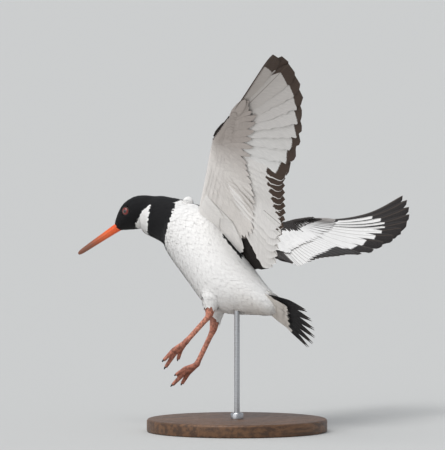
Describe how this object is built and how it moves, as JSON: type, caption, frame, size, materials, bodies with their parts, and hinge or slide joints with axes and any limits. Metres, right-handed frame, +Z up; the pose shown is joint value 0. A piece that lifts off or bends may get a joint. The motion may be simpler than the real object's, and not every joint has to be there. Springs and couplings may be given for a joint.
{
  "type": "oystercatcher display model",
  "caption": "Life-size model of an oystercatcher landing with its wings raised, held over a round base by a rod.",
  "frame": {"origin": "centre of the stand base's underside", "axes": "+Z up, the bird heads towards -Y, its left side is towards +X"},
  "size_m": [0.5588, 0.4496, 0.4766],
  "materials": {
    "white_plumage": "soft white feathers",
    "black_plumage": "soft black feathers",
    "flight_feathers": "smooth feathers, white at the base and brown-black at the tip",
    "bill_horn": "smooth orange-red horn",
    "claw_horn": "dark horn",
    "bare_legs": "scaled pinkish skin",
    "eye_gloss": "wet gloss, red ring and dark pupil",
    "stand_wood": "oiled dark wood",
    "stand_steel": "satin"
  },
  "bodies": {
    "root": {"bill_lower": "bill_horn", "bill_upper": "bill_horn", "eye_left": "eye_gloss", "eye_right": "eye_gloss", "head": "black_plumage", "leg_left_claw_inner": "claw_horn", "leg_left_claw_middle": "claw_horn", "leg_left_claw_outer": "claw_horn", "leg_left_tarsus": "bare_legs", "leg_left_thigh": "white_plumage", "leg_left_toe_inner": "bare_legs", "leg_left_toe_middle": "bare_legs", "leg_left_toe_outer": "bare_legs", "leg_right_claw_inner": "claw_horn", "leg_right_claw_middle": "claw_horn", "leg_right_claw_outer": "claw_horn", "leg_right_tarsus": "bare_legs", "leg_right_thigh": "white_plumage", "leg_right_toe_inner": "bare_legs", "leg_right_toe_middle": "bare_legs", "leg_right_toe_outer": "bare_legs", "neck": "black_plumage", "stand_base": "stand_wood", "stand_rod": "stand_steel", "tail_feathers": "flight_feathers", "trunk": "white_plumage", "wing_left_alula": "flight_feathers", "wing_left_arm": "white_plumage", "wing_left_hand": "white_plumage", "wing_left_primaries": "flight_feathers", "wing_left_secondaries": "white_plumage", "wing_left_tertials": "black_plumage", "wing_right_alula": "flight_feathers", "wing_right_arm": "white_plumage", "wing_right_hand": "white_plumage", "wing_right_primaries": "flight_feathers", "wing_right_secondaries": "white_plumage", "wing_right_tertials": "black_plumage"}
  },
  "joints": []
}
